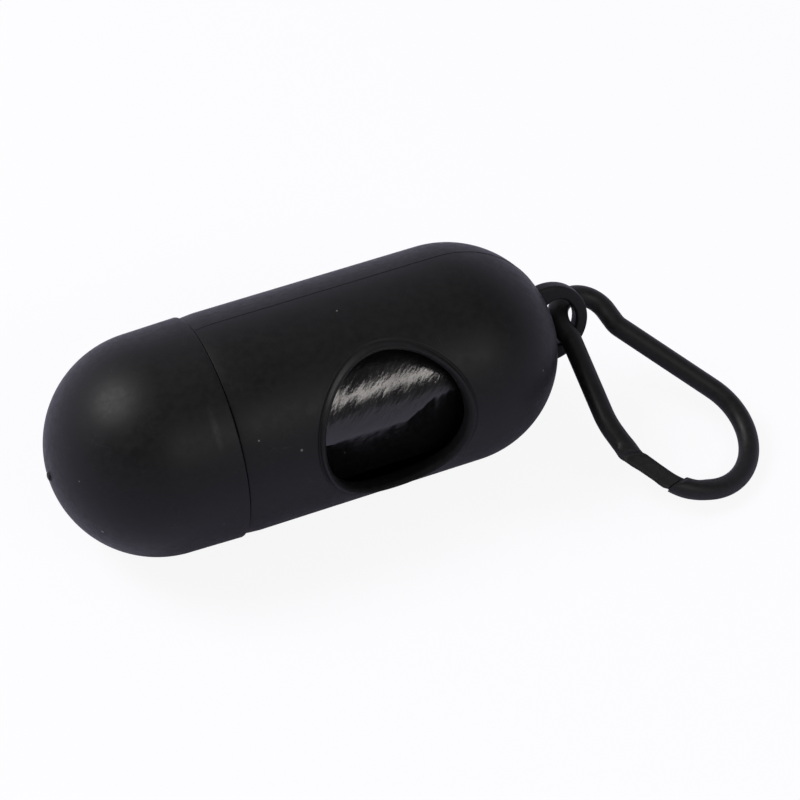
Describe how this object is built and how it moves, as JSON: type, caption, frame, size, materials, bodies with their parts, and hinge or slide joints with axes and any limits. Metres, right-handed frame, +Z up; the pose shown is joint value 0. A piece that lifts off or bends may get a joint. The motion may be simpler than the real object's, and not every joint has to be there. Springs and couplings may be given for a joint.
{
  "type": "dog waste bag dispenser",
  "caption": "Capsule-shaped dispenser with a screw cap, a round window, a roll of bags inside and a moulded carabiner on an eye",
  "frame": {"origin": "on the surface that the dispenser lies on, below the middle of its bounding box", "axes": "+X along the capsule from the cap to the carabiner, +Z up, the window faces -Y"},
  "size_m": [0.1174, 0.0532, 0.0374],
  "materials": {
    "case": "black moulded plastic, satin with fine scratches",
    "cap": "black moulded plastic, satin with fine scratches",
    "carabiner": "black moulded plastic, satin",
    "core": "grey paperboard, matte",
    "film": "thin black film, glossy and wrinkled"
  },
  "bodies": {
    "dispenser": {"dispenser_body": "case"},
    "cap": {"screw_cap": "cap"},
    "carabiner": {"carabiner_hook": "carabiner"},
    "gate": {"carabiner_gate": "carabiner"},
    "roll": {"roll_core": "core", "bag_roll": "film", "lead_bag": "film"}
  },
  "joints": [
    {"name": "cap_off", "type": "slide", "parent": "dispenser", "child": "cap", "axis": [-1, 0, 0], "range_m": [0, 0.04]},
    {"name": "roll_turn", "type": "hinge", "parent": "dispenser", "child": "roll", "pos_m": [-0.01418, 0.00744, 0.01804], "axis": [1, 0, 0], "continuous": true},
    {"name": "carabiner_swing", "type": "hinge", "parent": "dispenser", "child": "carabiner", "pos_m": [0.03701, 0.00749, 0.0167], "axis": [0, 0, 1], "range_deg": [-10, 120]},
    {"name": "gate_press", "type": "hinge", "parent": "carabiner", "child": "gate", "pos_m": [0.03272, 0.00171, 0.01601], "axis": [0.2751, -0.3131, 0.909], "range_deg": [0, 18], "stiffness_Nm_per_rad": 0.3}
  ]
}
